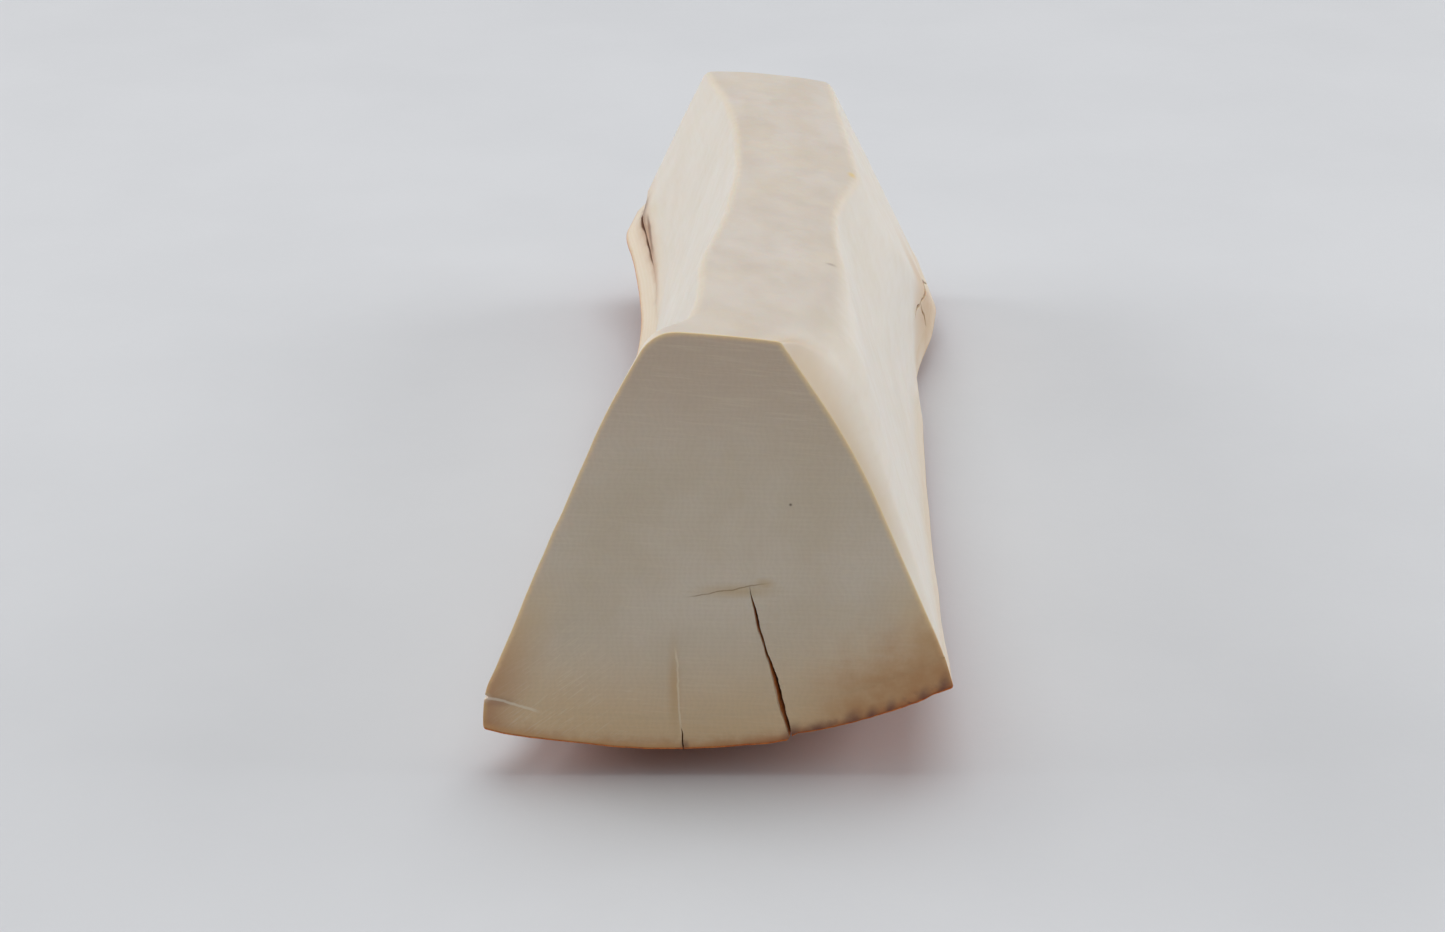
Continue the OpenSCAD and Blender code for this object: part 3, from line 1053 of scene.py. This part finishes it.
def parting_crack(s, colour):
    """Brown line where the bark comes away from the dentine at the far left."""
    on_left = s.rise(s.x, -9.0, -4.0, 1.0, 0.0)
    off = s.add(s.math("ABSOLUTE", s.add(s.depth, -BARK)), s.times(s.medium, 1.2))
    halo = s.times(s.rise(off, 0.4, 3.4, 0.5, 0.0), s.rise(s.y, 134.0, 146.0))
    halo = s.times(halo, s.rise(s.y, 156.0, 159.0, 1.0, 0.0), on_left)
    colour = s.mix(halo, colour, JOINT_HALO)
    joint = s.times(s.rise(off, 0.3, 1.9, 1.0, 0.0), s.rise(s.y, 118.0, 138.0), on_left)
    joint = s.times(joint, s.rise(s.y, 149.0, 154.0, 0.68, 0.85))
    joint = s.times(joint, s.rise(s.y, 156.0, 158.5, 1.0, 0.2))
    colour = s.mix(joint, colour, s.mix(s.rise(s.y, 146.0, 153.0), JOINT_PALE, JOINT_DARK))
    # short second strand of that crack, a little above it
    off = s.add(s.depth, s.rise(s.y, 142.0, 151.0, -BARK - 0.4, -BARK - 1.1))
    off = s.add(s.math("ABSOLUTE", off), s.times(s.medium, 0.5))
    strand = s.times(s.rise(off, 0.30, 0.75, 0.75, 0.0), s.rise(s.y, 140.0, 144.0))
    strand = s.times(strand, s.rise(s.y, 149.0, 152.0, 1.0, 0.0), on_left)
    return s.mix(strand, colour, STRAND)


def crack_colours(s, colour):
    """The chip, the stain in the bulge, the crack at the far left, and painted light and shade on
    the walls of all cracks.
    """
    chipped = s.spot(CHIP_PLACE[0], CHIP_PLACE[2], 1.6, 1.0)
    chipped = s.times(chipped, s.rise(s.y, 0.3, 1.6, 1.0, 0.0))
    colour = s.mix(s.times(chipped, 0.8), colour, FRESH_CHIP)
    along, up = BULGE_PLACE
    near_bulge = s.away(s.offset(s.y, along, 21.0), s.offset(s.z, up, 11.0))
    soiled = s.rise(s.add(near_bulge, s.times(s.medium, 0.5)), 0.3, 1.3, 0.85, 0.0)
    colour = s.mix(s.times(soiled, s.rise(s.x, 15.0, 22.0)), colour, BULGE_STAIN)
    colour = parting_crack(s, colour)
    # painted light and shade on the crack walls: lit orange at the front lip, painted dark shade
    # deeper in, and a brown on the walls of the far crack
    wall = s.mix(s.rise(s.y, 0.7, 3.4), WALL_LIT, WALL_SHADE)
    wall = s.mix(s.rise(s.y, 90.0, 110.0), wall, WALL_FAR)
    wall = s.mix(s.rise(s.fine, 0.35, 0.7, 0.0, 0.4), wall, WALL_CLOUD)
    return s.mix(s.rise(s.hollow, 0.10, 0.45), colour, wall)


def plain_roughness(s):
    """Polished carved faces and dull sawn ends."""
    gloss = s.add(s.rise(s.medium, 0.3, 0.7, 0.30, 0.44), s.times(s.on_top, 0.06))
    return s.add(s.times(gloss, s.rest_of(s.sawn)), s.times(s.sawn, 0.58))


def plain_height(s):
    """Grain of the carved faces, and saw marks and fine lines of the sawn ends."""
    grain = s.add(s.times(s.long_grain, 0.012), s.times(s.fine, 0.005), s.times(s.medium, 0.03))
    cuts = s.add(s.times(s.scratch, 0.05), s.times(s.hatch, 0.0015), s.times(s.fine, 0.015))
    cuts = s.add(cuts, s.times(s.math("MAXIMUM", s.ring_line, s.pale_line), -0.03))
    return s.add(s.times(grain, s.rest_of(s.sawn)), s.times(cuts, s.sawn))


def cracked(s, colour, rough, height, scatter):
    """The finished material, with the cracks and their stains over its colour."""
    rough = s.math("MAXIMUM", rough, s.rise(s.hollow, 0.1, 0.4, 0.0, 0.9))
    return s.finish(crack_colours(s, colour), rough, height, scatter)


def dentine_material():
    s = Ivory("dentine")
    colour = s.mix(s.sawn, carved_colour(s), sawn_colour(s))
    return cracked(s, colour, plain_roughness(s), plain_height(s), 0.22)


def bark_material():
    s = Ivory("bark")
    layers = s.math("SINE", s.add(s.times(s.depth, 9.0), s.times(s.medium, 7.0)))
    furrow = s.noise(1.1, 5, 0.65, (1, 0.12, 1))
    natural = s.rise(s.depth, 0.02, 0.30, 1.0, 0.0)
    outer = s.mix(s.rise(furrow, 0.35, 0.65), BARK_DARK, BARK_LIGHT)
    outer = s.mix(s.rise(s.fine, 0.5, 0.75, 0.0, 0.6), outer, BARK_SPECK)
    colour = s.mix(s.sawn, bark_side_colour(s, layers), sawn_colour(s))
    colour = s.mix(natural, colour, outer)
    rough = s.math("MAXIMUM", plain_roughness(s), s.rise(s.depth, 0.0, 1.0, 0.8, 0.5))
    outer_height = s.times(s.add(s.times(furrow, 0.30), s.times(s.fine, 0.10)), natural)
    height = s.add(plain_height(s), outer_height, s.times(layers, 0.006))
    return cracked(s, colour, rough, height, 0.10)


keep_places(dentine_piece, carved)
keep_places(bark_piece, bark_sides)
for piece, material, slot, node in (
    (dentine_piece, dentine_material(), "dentine", "dentine_body"),
    (bark_piece, bark_material(), "bark", "cementum_bark"),
):
    piece.data.materials.clear()
    piece.data.materials.append(material)
    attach(piece, "root")
    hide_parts(node)


# ---------------------------------------------------------------- floor, light and camera

FLOOR_HALF = 3.0
FLOOR_CORNERS = ((-1, -1), (1, -1), (1, 1), (-1, 1))
PAPER, PAPER_CLOUD = tone(207, 211, 217), tone(204, 208, 214)


def paper_material():
    s = Surface("floor_paper")
    colour = s.mix(s.rise(s.noise(0.02, 3), 0.3, 0.7), PAPER, PAPER_CLOUD)
    rough = s.rise(s.noise(0.5, 2), 0, 1, 0.55, 0.7)
    return s.finish(colour, rough, s.times(s.noise(0.8), 0.02), 0.0)


floor_mesh = bpy.data.meshes.new("floor")
corners = [(x * FLOOR_HALF, y * FLOOR_HALF, 0) for x, y in FLOOR_CORNERS]
floor_mesh.from_pydata(corners, [], [(0, 1, 2, 3)])
floor_mesh.materials.append(paper_material())
floor = add_object("floor", floor_mesh)


def softbox(name, place, aim, size, power, colour):
    """Soft rectangular lamp that faces the point aim."""
    data = bpy.data.lights.new(name, "AREA")
    data.shape = "RECTANGLE"
    data.size, data.size_y = size
    data.energy = power
    data.color = colour
    lamp = add_object(name, data)
    lamp.location = place
    lamp.rotation_euler = (Vector(aim) - Vector(place)).to_track_quat("-Z", "Y").to_euler()


softbox("left_softbox", (-0.95, 0.15, 0.55), (0, 0, 0.02), (0.7, 0.5), 4.4, (1.0, 0.985, 0.96))
softbox("right_softbox", (0.95, 0.15, 0.55), (0, 0, 0.02), (0.7, 0.5), 4.2, (1.0, 0.985, 0.96))
softbox("top_softbox", (0.0, 0.20, 1.05), (0, 0.02, 0.02), (1.1, 0.7), 5.4, (1.0, 0.985, 0.965))

world = bpy.data.worlds.new("studio")
bpy.context.scene.world = world
world.use_nodes = True
world.node_tree.nodes["Background"].inputs["Color"].default_value = (1.0, 0.965, 0.94, 1)
world.node_tree.nodes["Background"].inputs["Strength"].default_value = 0.355

CAMERA_PLACE = (0.0, -308.14, 177.19)
CAMERA_TILT = 66.0  # from straight down, in degrees
FOCAL_LENGTH, SENSOR_WIDTH = 74.74, 36.0
lens = bpy.data.cameras.new("camera")
lens.lens = FOCAL_LENGTH
lens.sensor_width = SENSOR_WIDTH
camera = add_object("camera", lens)
camera.location = to_row(np.array(CAMERA_PLACE))
camera.rotation_euler = (math.radians(CAMERA_TILT), 0, 0)
bpy.context.scene.camera = camera
bpy.context.scene.view_settings.view_transform = "Standard"
